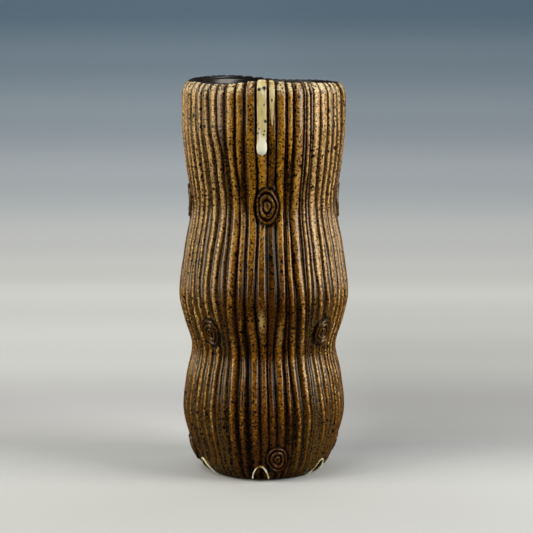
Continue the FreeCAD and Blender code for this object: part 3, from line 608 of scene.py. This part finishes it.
# Once round the wall's section: radius, level, relief share, rim share
def wallRows():
    rows = [(wall["seatRadius"], 0.0, 0, 0), (wall["footRadius"], 0.0, 0, 0)]
    *levels, start = footLevels
    count = round((shoulder - start) / wall["rowStep"])
    levels += [start + (shoulder - start) * i / count for i in range(count)]
    for z in levels:
        relief = wall["footRelief"] + (1 - wall["footRelief"]) * min(1.0, z / wall["footFade"])
        rows.append((outlineRadius(z), z, relief, 1))
    curl = rimRadius - wall["lipCurl"]
    last = wall["curlRows"] - 1
    for i in range(wall["curlRows"]):
        bend = math.radians(90 * i / last)
        rows.append((curl + wall["lipCurl"] * math.cos(bend), shoulder + wall["lipRise"] * math.sin(bend),
                     1 - wall["lipFade"] * i / last, 1))
    rows += [(curl - inward, wall["height"] - down, relief, 1) for inward, down, relief in wall["innerLip"]]
    top, low = wall["height"] - wall["innerTop"], wall["flareTop"]
    for i in range(wall["innerRows"]):
        z = top - (top - low) * i / (wall["innerRows"] - 1)
        rows.append((outlineRadius(z) - wall["thickness"], z, 0, 1))
    rows.append((wall["seatRadius"], wall["seatTop"], 0, 0))
    return rows


def pointMesh(name, points, attributes):
    mesh = bpy.data.meshes.new(name)
    mesh.from_pydata(points, [], [])
    for key, values in attributes.items():
        layer = mesh.attributes.new(key, "FLOAT_VECTOR", "POINT")
        layer.data.foreach_set("vector", np.asarray(values, np.float32).ravel())
    return addObject(name, mesh)


# A grid of columns and rows, wrapped round the section, each column at its place across a rib
def ribbedTree():
    tree = bpy.data.node_groups.new("ribbedWall", "GeometryNodeTree")
    sockets = {
        "NodeSocketGeometry": ["Geometry"],
        "NodeSocketInt": ["Ribs", "Columns Per Rib", "Rows", "Seed"],
        "NodeSocketFloat": ["Valley Depth", "Cut Depth", "Tool Marks", "Rim Tilt", "Rim Ripple", "High Side"],
        "NodeSocketObject": ["Rib Profile"],
        "NodeSocketMaterial": ["Glaze"],
    }
    for kind, names in sockets.items():
        for name in names:
            tree.interface.new_socket(name, in_out="INPUT", socket_type=kind)
    tree.interface.new_socket("Geometry", in_out="OUTPUT", socket_type="NodeSocketGeometry")
    given = put(tree, "NodeGroupInput").outputs
    columns, rows = given["Columns Per Rib"], given["Rows"]

    # Which rib, column and row a point belongs to; the last ones fall on the first, and the merge closes them
    across, tall = times(given["Ribs"], columns), plus(rows, 1)
    grid = put(tree, "GeometryNodeMeshGrid", {"Vertices X": plus(across, 1), "Vertices Y": tall})
    index = put(tree, "GeometryNodeInputIndex").outputs[0]
    column = calc("FLOOR", calc("DIVIDE", plus(index, 0.5), tall))
    row = less(index, times(column, tall))
    row = times(row, calc("LESS_THAN", row, less(rows, 0.5)))
    column = times(column, calc("LESS_THAN", column, less(across, 0.5)))
    rib = calc("FLOOR", calc("DIVIDE", plus(column, 0.5), columns))
    place = less(column, times(rib, columns))
    stop = timesPlus(rib, rows, row)

    def sample(geometry, value, at):
        inputs = {"Geometry": geometry, "Value": value, "Index": at}
        return parts(putBy(inputs, "GeometryNodeSampleIndex", data_type="FLOAT_VECTOR")[0])

    def ofPath(key):
        named = put(tree, "GeometryNodeInputNamedAttribute", {"Name": key}, data_type="FLOAT_VECTOR")
        return sample(given["Geometry"], named.outputs[0], stop)

    edges, form, ring, facing = [ofPath(key) for key in ("edges", "form", "ring", "facing")]
    profileObject = putBy({"Object": given["Rib Profile"]}, "GeometryNodeObjectInfo")
    position = put(tree, "GeometryNodeInputPosition").outputs[0]
    profile = sample(profileObject["Geometry"], position, place)

    # Angle of the point, then how deep it lies below the crests
    onRidge = calc("MINIMUM", profile[0], 1.0)
    past = calc("MAXIMUM", less(profile[0], 1.0), 0.0)
    angle = timesPlus(less(edges[1], edges[0]), onRidge, edges[0])
    angle = timesPlus(less(edges[2], edges[1]), past, angle)
    turn = calc("RADIANS", angle)
    sine, cosine = calc("SINE", turn), calc("COSINE", turn)
    ridge = times(form[0], less(1.0, calc("MINIMUM", profile[1], 1.0)))
    deep = times(calc("MAXIMUM", less(profile[1], 1.0), 0.0), form[2])
    relief = times(given["Valley Depth"], less(1.0, ridge))
    relief = timesPlus(deep, given["Cut Depth"], relief)
    spot = together(times(sine, ring[0]), times(cosine, ring[0]), times(ring[1], 0.45))
    marks = putBy({"Vector": spot, "W": given["Seed"], "Scale": 0.16, "Detail": 3.0},
                  "ShaderNodeTexNoise", noise_dimensions="4D")[0]
    rough = times(calc("ABSOLUTE", less(marks, 0.5)), 4.0)
    relief = timesPlus(rough, given["Tool Marks"], relief)
    relief = times(relief, ring[2])

    # The lip rises on one side and ripples twice round
    swing = calc("RADIANS", less(angle, given["High Side"]))
    twice = times(swing, 2.0)
    tilt = times(less(1.0, calc("COSINE", swing)), given["Rim Tilt"])
    ripple = times(less(1.0, calc("COSINE", twice)), given["Rim Ripple"])
    drop = times(times(plus(tilt, ripple), 0.5), facing[2])
    radius = less(ring[0], times(relief, facing[0]))
    level = less(less(ring[1], times(relief, facing[1])), drop)
    goal = together(times(times(radius, sine), mm), times(times(radius, cosine), -mm), times(level, mm))

    flow = grid.outputs["Mesh"]
    for key, value in (("ridge", ridge), ("tone", form[1]), ("cutLine", deep)):
        flow = putBy({"Geometry": flow, "Name": key, "Value": value}, "GeometryNodeStoreNamedAttribute",
                     data_type="FLOAT", domain="POINT")[0]
    for kind, inputs in (
            ("GeometryNodeSetPosition", {"Position": goal}),
            ("GeometryNodeMergeByDistance", {"Distance": 2e-6}),
            ("GeometryNodeSetShadeSmooth", {}),
            ("GeometryNodeRealizeInstances", {}),
            ("GeometryNodeSetMaterial", {"Material": given["Glaze"]})):
        flow = putBy({"Geometry": flow, **inputs}, kind)[0]
    put(tree, "NodeGroupOutput", {0: flow})
    return tree


def setInputs(modifier, values):
    for item in modifier.node_group.interface.items_tree:
        if item.in_out == "INPUT" and item.name in values:
            modifier[item.identifier] = values[item.name]


def wallPiece():
    rows = wallRows()
    table = ribTable(np.array([row[1] for row in rows]))
    nextStarts = np.roll(table[:, 0], -1, axis=0)
    nextStarts[-1] += 360
    cuts = 0.35 + 0.65 * dice.random(len(table))
    cuts[8:15] = 1.0  # the deep lines either side of the front
    normals = []
    for before, after in zip(rows[-1:] + rows[:-1], rows[1:] + rows[:1]):
        rise, swell = after[1] - before[1], after[0] - before[0]
        length = math.hypot(rise, swell) or 1.0
        normals.append((rise / length, -swell / length))
    points, edges, form, ring, facing = [], [], [], [], []
    for i, rib in enumerate(table):
        for j, (radius, z, reach, rim) in enumerate(rows):
            left, right, height, shade = rib[:, j]
            middle = (left + right) / 2
            flat = knotFlat(middle, z) if reach else 0.0
            rimPart = float(rimShare(z)) * rim
            points.append((i, j, 0))
            edges.append((left, right, nextStarts[i, j]))
            form.append((height, shade, cuts[i] * (0.5 + 0.5 * height) * (1.0 if reach else 0.0)))
            ring.append((radius, z + float(lipLift(middle)) * rimPart, reach * (1 - wall["knotFade"] * flat)))
            facing.append((*normals[j], rimPart))
    paths = pointMesh("ribPaths", points, {"edges": edges, "form": form, "ring": ring, "facing": facing})
    profile = pointMesh("ribProfile", ribProfile, {})
    modifier = paths.modifiers.new("ribbedWall", "NODES")
    modifier.node_group = ribbedTree()
    setInputs(modifier, {
        "Ribs": len(table), "Columns Per Rib": wall["columns"], "Rows": len(rows), "Seed": 5,
        "Valley Depth": wall["valleyDepth"], "Cut Depth": wall["cutDepth"], "Tool Marks": wall["toolMarks"],
        "Rim Tilt": wall["tilt"], "Rim Ripple": wall["ripple"], "High Side": wall["highAngle"],
        "Rib Profile": profile, "Glaze": materials["rib"],
    })
    made = plainMesh(paths, "carvedWall")
    paths.modifiers.clear()
    for helper in (paths, profile):
        bpy.data.objects.remove(helper)
    return made, table, rows


# A piece's points in millimetres, with their radius and angle
def polar(made):
    points = np.zeros(len(made.data.vertices) * 3, np.float32)
    made.data.vertices.foreach_get("co", points)
    points = points.reshape(-1, 3) / mm
    return points, np.hypot(points[:, 0], points[:, 1]), np.degrees(np.arctan2(points[:, 0], -points[:, 1]))


pocket = {"count": 6, "first": -3.0, "width": 8.6, "base": 0.9, "top": 9.4, "depth": 1.9, "play": 0.25}
paleSpots = [(-1.7, 87, 1.2, 4.5, 0.85), (11.5, 79, 1.2, 4, 0.3)]  # angle, level, width, length, strength


# Half width of the pointed arch at a share of its height
def pocketHalfWidth(share):
    return pocket["width"] / 2 * np.sqrt(np.clip(1 - np.clip(share, 0, 1) ** 1.9, 0, 1))


# Arched pockets pressed into the foot
def pressPockets(made):
    points, radius, angle = polar(made)
    across = np.abs(np.radians(turned(angle, pocket["first"], 360 / pocket["count"]))) * radius
    share = (points[:, 2] - pocket["base"]) / (pocket["top"] - pocket["base"])
    inside = (share > 0) & (share < 1) & (across < pocketHalfWidth(share) - pocket["play"])
    push = pocket["depth"] * (inside & (radius > wall["seatRadius"] + 2.0))
    points[:, 0] -= np.sin(np.radians(angle)) * push
    points[:, 1] += np.cos(np.radians(angle)) * push
    made.data.vertices.foreach_set("co", (points * mm).astype(np.float32).ravel())
    made.data.update()


glazeEdges = {"innerDepth": 4.0, "belowShoulder": 0.8, "pastCurl": 0.3, "aboveSeat": 0.7, "knotReach": 1.2,
              "knotLine": 0.14, "knotDark": 0.9, "sidesFrom": 16, "sidesOver": 24}


# Where the glaze is the liner's, black round the knots, paler with painted sheen at the sides, or pale in a
# spot
def markGlaze(made):
    points, radius, angle = polar(made)
    z = points[:, 2]
    fine = np.arange(0, 213, 1.0)
    sunk = np.interp(z, fine, [outlineRadius(level) for level in fine]) - radius
    innerFace = sunk > glazeEdges["innerDepth"]
    lipInside = z > shoulder - glazeEdges["belowShoulder"]
    lipInside &= radius < rimRadius - wall["lipCurl"] + glazeEdges["pastCurl"]
    setFloats(made, "inner", lipInside | (innerFace & (z > wall["seatTop"] + glazeEdges["aboveSeat"])))
    lines = np.zeros(len(z), np.float32)
    made.data.attributes["cutLine"].data.foreach_get("value", lines)
    for level, length, width, first in knotRows.values():
        aside = np.radians(turned(angle, first, 90)) * radius / (width / 2)
        away = np.hypot(aside, (z - level) / (length / 2))
        line = glazeEdges["knotReach"] - np.abs(away - 1.0) / glazeEdges["knotLine"]
        lines = np.maximum(lines, np.clip(line, 0, glazeEdges["knotDark"]) * ~innerFace)
    setFloats(made, "cutLine", lines)
    # painted sheen grows from the front towards the sides
    setFloats(made, "side", smooth((np.abs(angle) - glazeEdges["sidesFrom"]) / glazeEdges["sidesOver"]))
    pale = np.zeros(len(z))
    for middle, level, width, length, strength in paleSpots:
        aside = np.radians(turned(angle, middle)) * radius / width
        pale = np.maximum(pale, strength * hump(aside, 1) * hump(z - level, length))
    setFloats(made, "pale", pale)


carvedWall, ribPaths, sectionRows = wallPiece()
pressPockets(carvedWall)
markGlaze(carvedWall)
finishPiece(carvedWall, "carved_wall")
print("carved wall:", len(carvedWall.data.polygons), "faces,", len(ribPaths), "ribs")


# Liner and floor pool

liner = {"coat": 0.3, "edge": 0.08, "behind": 0.04, "seatGap": 0.06, "wave": 0.08,
         "belowLip": 0.9, "edgeFade": 3.0, "low": 11.6, "columns": 180, "rows": 96}
pool = {"around": 96, "profile": [  # radius, level
    (0.02, 7.0), (4, 7.0), (8, 7.02), (12, 7.04), (15, 7.08), (17, 7.16), (18.6, 7.3), (20, 7.6), (21.4, 8.1),
    (22.6, 8.8), (23.6, 9.6), (24.5, 10.5), (25.3, 11.3), (25.8, 11.45), (25.92, 11.2), (25.92, 10.8),
    (24.4, 9.0), (22.0, 7.2), (20.4, 6.52), (10, 6.51), (0.02, 6.51)]}


def turnsOf(count):
    return [2 * math.pi * j / count for j in range(count)]


def innerRadius(z):
    if z > wall["flareTop"]:
        return outlineRadius(z) - wall["thickness"]
    if z > wall["seatTop"]:
        flareRadius = outlineRadius(wall["flareTop"]) - wall["thickness"]
        share = (z - wall["seatTop"]) / (wall["flareTop"] - wall["seatTop"])
        return wall["seatRadius"] + (flareRadius - wall["seatRadius"]) * share
    return wall["seatRadius"] - liner["seatGap"]


# A dark coat inside: down its inner face, then back up behind it
def linerPiece():
    top = wall["height"] - liner["belowLip"]
    phases = dice.random(6) * 6.28
    path = [top - (top - liner["low"]) * (i / (liner["rows"] - 1)) for i in range(liner["rows"])]
    rings = []
    for z, behind in [(z, False) for z in path] + [(z, True) for z in reversed(path)]:
        base, edge = innerRadius(z), min(1.0, (top - z) / liner["edgeFade"])
        ring = []
        for a in turnsOf(liner["columns"]):
            wave = (math.sin(3 * a + phases[0] + z / 23) + math.sin(7 * a + phases[1] - z / 31)
                    + 0.6 * math.sin(13 * a + phases[2]) * math.sin(z / 9 + phases[3]))
            inward = liner["coat"] * edge ** 0.5 + liner["edge"] - liner["wave"] * wave * edge
            radius = base + liner["behind"] if behind else base - inward
            ring.append(onRound(radius, a, z - float(rimDrop(math.degrees(a), z))))
        rings.append(ring)
    return ringMesh("linerCoat", rings, materials["liner"], closeAlong=True)


# The same glaze over the floor, drawn up the seam coil in a hollow
def poolPiece():
    turns = turnsOf(pool["around"])
    rings = [[onRound(radius, a, z) for a in turns] for radius, z in reversed(pool["profile"])]
    return ringMesh("floorPool", rings, materials["liner"], capStart=True, capEnd=True)


finishPiece(linerPiece(), "liner_glaze")
finishPiece(poolPiece(), "floor_glaze")
print("liner and pool made")


# Floor slab and seam coil keep their solids, in bare clay

for node in ("floor_slab", "seam_coil"):
    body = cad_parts[node]
    body.data.materials.clear()
    body.data.materials.append(materials["clay"])


# Knots

knot = {
    "rise": 1.45, "rings": 30, "around": 72, "fit": 0.97, "lean": 0.06, "tuck": 5.5, "root": 0.85,
    "back": 1.3, "bossShare": 0.34, "slitHalfWidth": 0.42, "slitShare": 0.13, "slitDepth": 0.5,
    "swell": [(2, 0.05), (3, 0.035), (5, 0.02)],  # waves once round, size
    "leastCarved": 0.55, "rollPlay": 0.16, "rimShare": 0.95, "tuckShare": 0.9, "backShare": 0.45,
    "edgeFade": 0.04, "squeeze": 0.98,
    "profile": [  # share of the way out, height
        (0, .72), (.16, .74), (.25, .62), (.295, .0), (.415, .0), (.465, .66), (.54, .82), (.60, .74),
        (.655, .0), (.775, .0), (.82, .66), (.87, .62), (.93, .32), (1.0, .0)],
    "wornProfile": [(0, .72), (.3, .74), (.6, .78), (.87, .62), (.93, .32), (1.0, .0)],
}


# An oval roll round a low boss with a slit, worked onto the wall by hand
def knotPiece(name, level, length, width, angle):
    phase = dice.random(8) * 6.28
    lean = (dice.random() - 0.5) * knot["lean"]
    turns = turnsOf(knot["around"])

    def place(x, y, proud):
        return onWall(angle + math.degrees(x / outlineRadius(level)), level + y, proud)

    wide, long = knot["backShare"] * width, knot["backShare"] * length
    rings = [[place(wide * math.sin(a), long * math.cos(a), -knot["back"]) for a in turns]]
    tops, darks = [0.0] * len(turns), [0.0] * len(turns)
    for i in range(knot["rings"], -1, -1):
        share = i / knot["rings"]
        groove = float(np.interp(share, *zip(*knot["profile"])))
        worn = float(np.interp(share, *zip(*knot["wornProfile"])))
        ring = []
        for a in turns:
            swell = 1
            for (waves, size), start in zip(knot["swell"], phase):
                swell += size * math.sin(waves * a + start)
            if share > knot["rimShare"]:
                swell = min(swell, 1.0)
            out = share * swell * knot["fit"] / 2
            y = out * length * math.cos(a)
            x = out * width * math.sin(a) + lean * y
            opening = 0.5 + 0.5 * math.cos(a + phase[4 if share < 0.5 else 5] * 0.5 - 1.5)
            carved = float(smooth((1.12 - opening) / 0.55))  # each ring is worn away on one side
            carved = knot["leastCarved"] + (1 - knot["leastCarved"]) * carved
            roll = 1 - knot["rollPlay"] + knot["rollPlay"] * math.sin(a * 2 + phase[3])
            height = (groove * carved + worn * (1 - carved)) * roll
            slit = 0.0
            if share < knot["bossShare"]:
                slit = float(hump(x - 0.06 * y, knot["slitHalfWidth"]))
                slit *= 1 - float(smooth(abs(y) / (length * knot["slitShare"])))
            lift = knot["rise"] * (height - knot["slitDepth"] * slit)
            lift *= min(1.0, (1 - share) / knot["edgeFade"])
            lift -= knot["tuck"] * max(0.0, share - knot["tuckShare"])  # its rim is worked into the wall
            ring.append(place(x, y * knot["squeeze"], lift if i < knot["rings"] else -knot["root"]))
            line = min(1.0, max(0.0, 1.3 - groove * 4)) * carved
            if share >= knot["tuckShare"]:
                line = max(0.0, 1 - abs(share - 0.96) / 0.04)
            tops.append(height)
            darks.append(line + slit)
        rings.append(ring)
    made = ringMesh(name + "Open", rings, materials["rib"], capStart=True, values={
        "ridge": np.clip(np.array(tops) * 0.95, 0, 1), "tone": 0.8, "cutLine": np.clip(darks, 0, 1),
        # knots away from the front get the painted sheen of the sides
        "inner": 0, "pale": 0, "side": 0.0 if abs(angle) < 20 else 0.7})
    made.modifiers.new("weld", "WELD").merge_threshold = 2e-6  # closes the middle
    plain = plainMesh(made, name)
    bpy.data.objects.remove(made)
    return plain


for row, (level, length, width, first) in knotRows.items():
    for i in range(4):
        piece = knotPiece(f"{row}Knot{i + 1}", level, length, width, first + 90 * i)
        finishPiece(piece, f"{row}_knot_{i + 1}")
print("knots made")


# Beads of pale glaze round the pockets

bead = {"radius": 0.66, "steps": 64, "around": 12, "slope": 1.4, "inset": 0.1, "sink": 0.35, "lowest": 0.35,
        "gather": 0.93, "archPower": 1.7, "roundEnd": 0.03, "flatness": 0.85}


# A rounded line of glaze up one side of the arch and down the other, uneven in thickness
def beadPiece(name, middle):
    phase = dice.random(5) * 6.28
    rings, body = [], []
    for i in range(bead["steps"] + 1):
        t = i / bead["steps"] * 2 - 1  # -1 left leg, 0 apex, 1 right leg
        sign = 1 if t >= 0 else -1
        share = 1 - abs(t) ** bead["archPower"]
        x = sign * (float(pocketHalfWidth(share)) - bead["inset"]) if t else 0.0
        z = pocket["base"] + (pocket["top"] - pocket["base"]) * share
        toGather = abs(t) - bead["gather"]  # glaze gathers low on each leg
        thick = 0.86 + 0.22 * math.sin(3 * t + phase[0]) + 0.12 * math.sin(11 * t + phase[1])
        thick = bead["radius"] * (thick + 0.3 * float(hump(toGather, 0.1)))
        thick *= min(1.0, max(0.05, (1 - abs(t)) / bead["roundEnd"]))
        aside, up = sign * bead["slope"], sign
        size = math.hypot(aside, up)
        ring = []
        for a in turnsOf(bead["around"]):
            across, out = thick * math.cos(a), thick * bead["flatness"] * math.sin(a)
            px, pz = x + aside / size * across, z + up / size * across
            ring.append(onWall(middle + math.degrees(px / outlineRadius(z)), max(pz, bead["lowest"]),
                               out - bead["sink"]))
            body.append(0.85 + 0.3 * math.sin(a) + 0.35 * math.sin(7 * t + phase[3])
                        + 0.7 * float(hump(toGather, 0.12)))
        rings.append(ring)
    return ringMesh(name, rings, materials["pale"], capStart=True, capEnd=True, values={"body": body})


for i in range(pocket["count"]):
    middle = pocket["first"] + 360 / pocket["count"] * i
    finishPiece(beadPiece(f"pocketBead{i + 1}", middle), f"pocket_bead_{i + 1}")
print("beads made")


# Runs of pale glaze down two front ribs

runs = {"long": {"rib": 10, "end": 173.0, "drop": 5.5, "node": "pale_run_long"},
        "short": {"rib": 11, "end": 188.0, "drop": 0.0, "node": "pale_run_short"}}
runShape = {"rowsUp": 56, "rowsOver": 8, "lastBend": 80, "across": 16, "widthShare": 0.93,
            "crown": 0.26, "edge": 0.10, "under": 0.34, "leastTaper": 0.04, "taperLength": 15.0,
            "dropRound": 2.4, "dropBulge": 0.55, "dropThick": 0.9, "dropSwell": 0.12}


# One rib's left edge, right edge, height and paleness at some levels
def ribTableAt(rib, levels):
    known = np.array([row[1] for row in sectionRows])
    outer = slice(2, 2 + int(np.argmax(known)))
    order = np.argsort(known[outer])
    return np.array([np.interp(levels, known[outer][order], line[outer][order]) for line in ribPaths[rib]])


def runPiece(name, given):
    end, drop = given["end"], given["drop"]
    rowsUp, rowsOver = runShape["rowsUp"], runShape["rowsOver"]
    levels = np.concatenate([np.linspace(end, shoulder, rowsUp), np.full(rowsOver, shoulder)])
    bends = np.linspace(0, math.radians(runShape["lastBend"]), rowsOver + 1)[1:]
    bends = np.concatenate([np.zeros(rowsUp), bends])
    rings, body = [], []
    for level, bend, (left, right, height, _) in zip(levels, bends, ribTableAt(given["rib"], levels).T):
        fromEnd = level - end
        taper = min(1.0, fromEnd / runShape["taperLength"]) ** 0.7
        swell, bulge, thicker = 1, 0.0, 0.0
        if drop:  # a round drop at the end
            taper = math.sqrt(1 - (1 - min(1.0, fromEnd / runShape["dropRound"])) ** 2)
            swell = 1 + runShape["dropSwell"] * float(hump(fromEnd - drop * 0.7, 3.0))
            bulge = runShape["dropBulge"] * float(hump(fromEnd - drop * 0.6, 3.0))
            thicker = runShape["dropThick"] * float(hump(fromEnd - drop * 0.6, 3.4))
        taper = max(runShape["leastTaper"], taper) * swell
        half = (right - left) / 2 * runShape["widthShare"] * taper
        ring = []
        for side in (1, -1):  # over the top, then back underneath
            for share in np.linspace(-side, side, runShape["across"]):
                crown = math.sqrt(max(0.0, 1 - share ** 2))
                lift = (runShape["crown"] + bulge) * crown * min(1.0, fromEnd / 2.0 + 0.1) - runShape["edge"]
                proud = (lift if side > 0 else -runShape["under"]) - wall["valleyDepth"] * (1 - height)
                proud -= 0.10 * abs(share) ** 3
                angle = (left + right) / 2 + half * share
                ring.append(onLip(angle, bend, proud) if bend else onWall(angle, level, proud))
                body.append(0.35 + 0.5 * crown + thicker if side > 0 else 0.4)
        rings.append(ring)
    return ringMesh(name, rings, materials["pale"], capStart=True, capEnd=True, values={"body": body})


for name, given in runs.items():
    finishPiece(runPiece(name + "PaleRun", given), given["node"])
print("runs made")


# Backdrop, lights and camera, in metres

paper = {
    "edge": -0.16, "bend": 0.55, "bendRadius": 0.5, "top": 2.2, "wide": 2.4, "below": 0.00005,
    "tints": [  # distance along the sheet from its front edge, then colour
        (0.00, (0.420, 0.441, 0.447)), (0.13, (0.445, 0.467, 0.472)), (0.25, (0.441, 0.455, 0.467)),
        # the dip near 0.34 is painted shade, a darker band across the floor behind the pot
        (0.34, (0.403, 0.414, 0.427)), (0.48, (0.527, 0.547, 0.540)), (0.61, (0.595, 0.614, 0.602)),
        (0.76, (0.597, 0.615, 0.601)), (0.84, (0.485, 0.500, 0.501)), (0.90, (0.423, 0.443, 0.455)),
        (1.01, (0.278, 0.313, 0.346)), (1.10, (0.172, 0.213, 0.257)), (1.18, (0.101, 0.146, 0.192)),
        (1.24, (0.05, 0.093, 0.137)),
    ],
    "shade": (0, 0, 0, 1), "fibre": (0.3, 0.3, 0.3, 1), "mirrored": (0.01, 0.01, 0.01, 1), "roughness": 0.8,
}


def gradedPaperMaterial():
    material, tree, where = newMaterial("gradedPaper")
    along = attribute(tree, "along")
    (last, tint), *others = paper["tints"]
    colour = (*tint, 1)
    for place, tint in others:
        colour = blendColour(span(along, last, place), colour, (*tint, 1))
        last = place
    # painted shadow of the pot, darkening the floor behind it and to the right
    colour = blendColour(times(attribute(tree, "paintedShadow"), 0.25), colour, paper["shade"])
    fibres = noise(where, 900, 3, 0.6)
    colour = blendColour(span(fibres, 0.35, 0.65, 0.0, 0.03), colour, paper["fibre"])
    glossy = put(tree, "ShaderNodeLightPath").outputs["Is Glossy Ray"]
    colour = blendColour(times(glossy, 0.92), colour, paper["mirrored"])
    dress(tree, {"Base Color": colour, "Roughness": paper["roughness"]})
    return material


# One sheet of graded paper: a flat floor that curves up behind
def backdrop():
    radius, bend, wide = paper["bendRadius"], paper["bend"], paper["wide"]
    path = [(y, 0.0) for y in np.linspace(paper["edge"], bend, 24)]
    for turn in np.radians(range(6, 91, 6)):
        path.append((bend + radius * math.sin(turn), radius - radius * math.cos(turn)))
    path += [(bend + radius, z) for z in np.linspace(radius + 0.1, paper["top"], 8)]
    across = np.concatenate([[-wide, -1.0], np.linspace(-0.4, 0.4, 33), [1.0, wide]])
    rings = [[Vector((x, y, z - paper["below"])) for x in across] for y, z in path]
    steps = [0.0] + [math.dist(a, b) for a, b in zip(path, path[1:])]
    along = np.repeat(np.cumsum(steps), len(across))
    paintedShadow = smooth((along - 0.13) / 0.12) * (1 - 0.7 * smooth((along - 0.48) / 0.3))
    paintedShadow *= smooth((np.tile(across, len(path)) + 0.03) / 0.11)  # painted shadow: the floor is darker on the right
    values = {"along": along, "paintedShadow": paintedShadow}
    ringMesh("gradedPaper", rings, gradedPaperMaterial(), closeAcross=False, values=values)


lights = {  # place, aim, width, height, power, colour
    "softboxLeft": ((-0.90, -0.36, 0.45), (0, 0, 0.13), 0.60, 0.80, 11.2, (1, 0.93, 0.79)),
    "softboxRight": ((0.90, -0.36, 0.45), (0, 0, 0.13), 0.60, 0.80, 17.5, (1, 0.95, 0.88)),
    "keyAbove": ((-0.55, -0.75, 1.25), (0, 0.05, 0.05), 0.7, 0.6, 9, (1, 0.95, 0.88)),
    "paperLight": ((0, 0.45, 1.3), (0, 0.85, 0.1), 1.8, 0.25, 8, (1, 1, 1)),
}


def areaLight(name, place, aim, width, height, power, colour):
    light = bpy.data.lights.new(name, "AREA")
    light.shape, light.size, light.size_y = "RECTANGLE", width, height
    light.energy, light.color = power, colour
    made = addObject(name, light)
    made.location = place
    made.rotation_euler = (Vector(aim) - Vector(place)).to_track_quat("-Z", "Y").to_euler()


backdrop()
for name, given in lights.items():
    areaLight(name, *given)

air = {"light": (0.027, 0.0285, 0.03, 1), "seen": (0.40, 0.43, 0.46, 1)}  # faint light, pale to the eye
world = bpy.data.worlds.new("studio")
bpy.context.scene.world = world
world.use_nodes = True
sky = world.node_tree
toCamera = put(sky, "ShaderNodeLightPath").outputs["Is Camera Ray"]
feed(sky.nodes["Background"].inputs[0], blendColour(toCamera, air["light"], air["seen"]))

view = {"focalPixels": 1784, "framePixels": 533, "shiftPixels": 2.8, "sensor": 36.0,
        "place": (0.0, -0.950, 0.238), "lookDown": 7.65}
camera = bpy.data.cameras.new("camera")
camera.sensor_width = view["sensor"]
camera.lens = view["focalPixels"] / view["framePixels"] * view["sensor"]
camera.shift_x = view["shiftPixels"] / view["framePixels"]
cameraObject = addObject("camera", camera)
cameraObject.location = view["place"]
cameraObject.rotation_euler = (math.radians(90 - view["lookDown"]), 0, 0)
bpy.context.scene.camera = cameraObject
bpy.context.scene.view_settings.view_transform = "Standard"
print("studio made")
